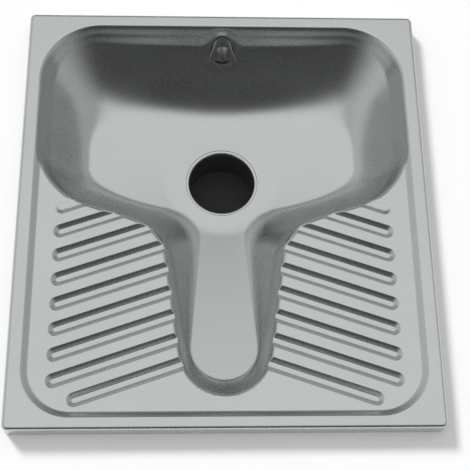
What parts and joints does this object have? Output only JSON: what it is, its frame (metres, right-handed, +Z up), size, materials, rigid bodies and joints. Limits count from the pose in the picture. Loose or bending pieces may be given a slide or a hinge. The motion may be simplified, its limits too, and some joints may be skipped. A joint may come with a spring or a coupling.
{
  "type": "squat toilet pan",
  "caption": "Pressed stainless steel squat toilet pan with grooved foot treads, a bowl and trough, a round drain with its outlet spigot, and a flush inlet.",
  "frame": {"origin": "centre of the four anchor holes, on the plane of the lip's foot; the flange's top face is 30 mm above it", "axes": "+Z up out of the floor, +Y from the treads to the back wall with the flush inlet, +X to the user's right when facing the back wall"},
  "size_m": [0.6, 0.6799, 0.2],
  "materials": {
    "pan_steel": "satin pressed stainless steel",
    "collar_steel": "polished rolled edge",
    "spreader_steel": "satin",
    "spigot_steel": "satin tube with a bead of weld",
    "bracket_steel": "plain mill finish",
    "fastener_steel": "bright",
    "rubber": "matt black",
    "brass": "plain turned"
  },
  "bodies": {
    "root": {"pan": "pan_steel", "drain_collar": "collar_steel", "outlet_spigot": "spigot_steel", "flush_spreader": "spreader_steel", "front_gasket": "rubber", "rear_gasket": "rubber", "inlet_washer": "fastener_steel", "inlet_backnut": "brass", "flush_pipe_sleeve": "rubber", "sleeve_clip_tail": "fastener_steel", "sleeve_clip_pipe": "fastener_steel", "anchor_lug_front_left": "bracket_steel", "anchor_lug_front_right": "bracket_steel", "anchor_lug_back_left": "bracket_steel", "anchor_lug_back_right": "bracket_steel", "channel_left_outer": "bracket_steel", "channel_left_inner": "bracket_steel", "channel_right_outer": "bracket_steel", "channel_right_inner": "bracket_steel", "bonding_tag": "bracket_steel"}
  },
  "joints": []
}
